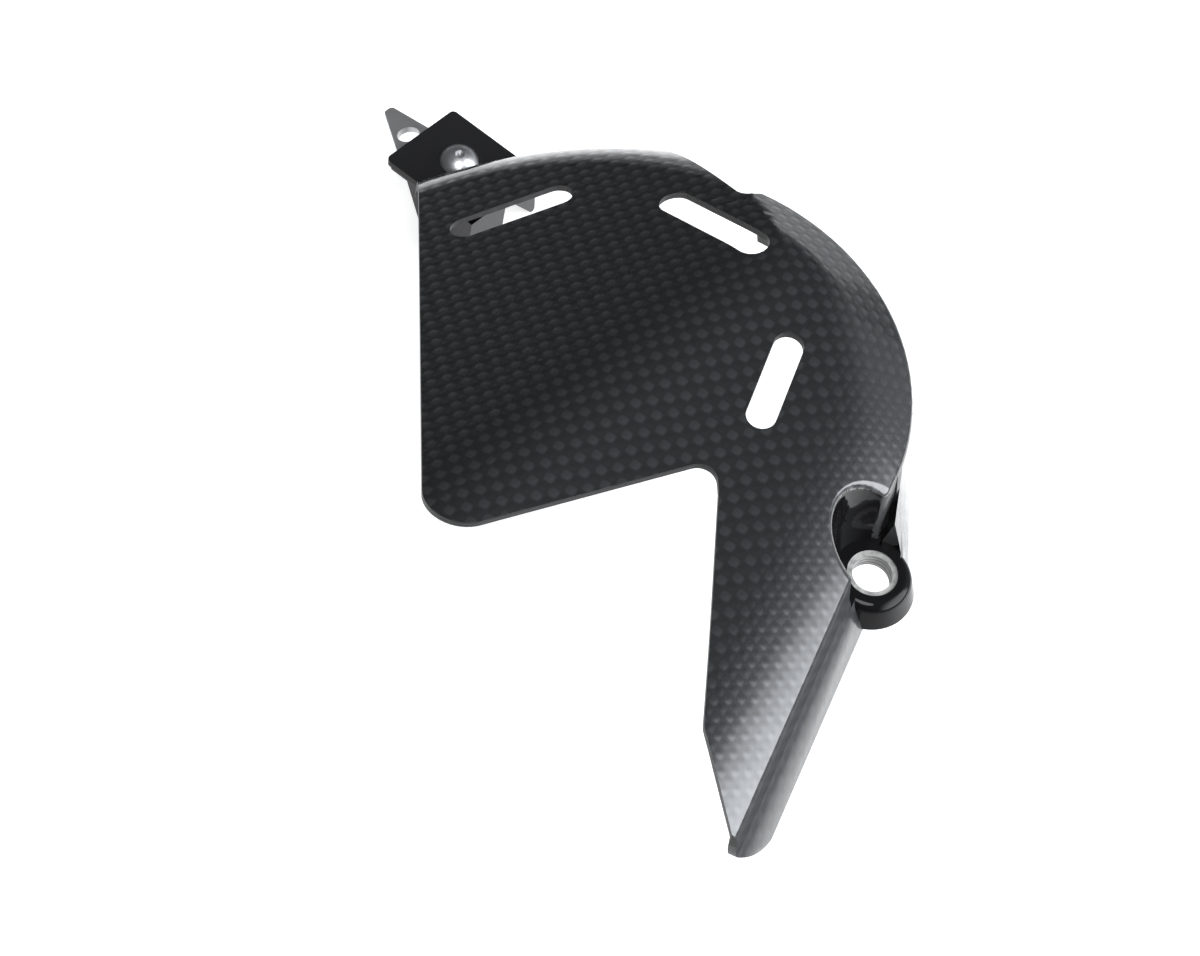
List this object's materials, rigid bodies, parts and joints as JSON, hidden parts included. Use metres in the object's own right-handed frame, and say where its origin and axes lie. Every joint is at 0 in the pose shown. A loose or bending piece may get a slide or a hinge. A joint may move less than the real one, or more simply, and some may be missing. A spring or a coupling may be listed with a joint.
{
  "type": "sprocket cover",
  "caption": "Moulded woven-carbon sprocket cover for a motorcycle, with vent slots, a bolt eye in a recess, a pointed tail and a riveted sheet-metal bracket.",
  "frame": {"origin": "on the bolt axis, under the floor of the bolt eye", "axes": "+Z along the bolt, out of the main face; +X to the flank with the bolt eye; +Y to the end with the riveted bracket"},
  "size_m": [0.0906, 0.166, 0.061],
  "materials": {
    "carbon": "clear-lacquered plain-weave carbon laminate",
    "sheet_steel": "plain cut and folded sheet",
    "rivet_aluminium": "bright, as pressed"
  },
  "bodies": {
    "root": {"cover_shell": "carbon", "mounting_bracket": "sheet_steel", "bracket_rivet": "rivet_aluminium"}
  },
  "joints": []
}
